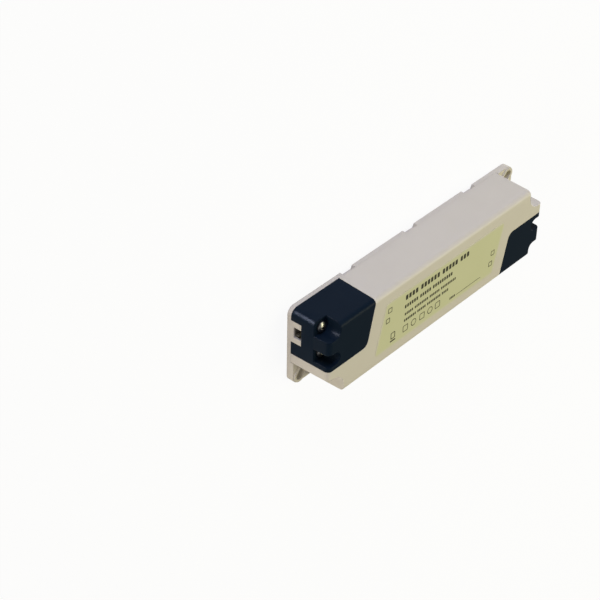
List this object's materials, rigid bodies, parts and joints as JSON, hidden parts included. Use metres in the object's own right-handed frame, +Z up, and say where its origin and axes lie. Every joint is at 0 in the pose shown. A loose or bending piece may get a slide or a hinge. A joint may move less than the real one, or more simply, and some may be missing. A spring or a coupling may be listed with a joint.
{
  "type": "LED driver",
  "caption": "Flat boxy LED driver in an ivory plastic case with dark slanted end caps over the wiring chambers, cable inlets and screw-down ears.",
  "frame": {"origin": "middle of the mounting surface, at the bottom centre of the case", "axes": "+X along the case from the input end to the output end, +Y across it towards the long side where the input cap lies, +Z up from the mounting surface to the label face"},
  "size_m": [0.173, 0.046, 0.0262],
  "materials": {
    "ivory_plastic": "fine matte moulded plastic",
    "navy_plastic": "satin moulded plastic",
    "plated_steel": "zinc plated",
    "label_film": "printed matte film",
    "white_film": "plain film",
    "green_board": "lacquered laminate",
    "terminal_plastic": "moulded plastic",
    "brown_plastic": "moulded plastic",
    "olive_coating": "dipped coating",
    "blue_coating": "dipped coating",
    "yellow_plastic": "plastic box and wound tape",
    "ferrite": "sintered ferrite",
    "copper_wire": "enamelled wire",
    "black_epoxy": "moulded epoxy",
    "dark_sleeve": "shrunk sleeve",
    "bare_aluminium": "bare sheet"
  },
  "bodies": {
    "root": {"base_tray": "ivory_plastic", "top_cover": "ivory_plastic", "input_cap": "navy_plastic", "output_cap": "navy_plastic", "input_cap_screws": "plated_steel", "output_cap_screws": "plated_steel", "rating_label": "label_film", "insulating_sheet": "white_film", "circuit_board": "green_board", "board_screws": "plated_steel", "input_terminal": "terminal_plastic", "input_terminal_screws": "plated_steel", "output_terminal": "terminal_plastic", "output_terminal_screws": "plated_steel", "fuse": "brown_plastic", "thermistor": "olive_coating", "varistor": "blue_coating", "filter_capacitor": "yellow_plastic", "line_choke_core": "ferrite", "line_choke_windings": "copper_wire", "bridge_rectifier": "black_epoxy", "bulk_capacitor": "dark_sleeve", "switch_heatsink": "bare_aluminium", "switch_transistor": "black_epoxy", "control_chip": "black_epoxy", "supply_capacitor": "dark_sleeve", "transformer_core": "ferrite", "transformer_bobbin": "black_epoxy", "transformer_winding": "yellow_plastic", "bridging_capacitor": "blue_coating", "optocoupler": "black_epoxy", "diode_heatsink": "bare_aluminium", "output_diode": "black_epoxy", "sink_screws": "plated_steel", "output_capacitors": "dark_sleeve", "output_choke_core": "ferrite", "output_choke_winding": "copper_wire", "resistors": "brown_plastic"}
  },
  "joints": []
}
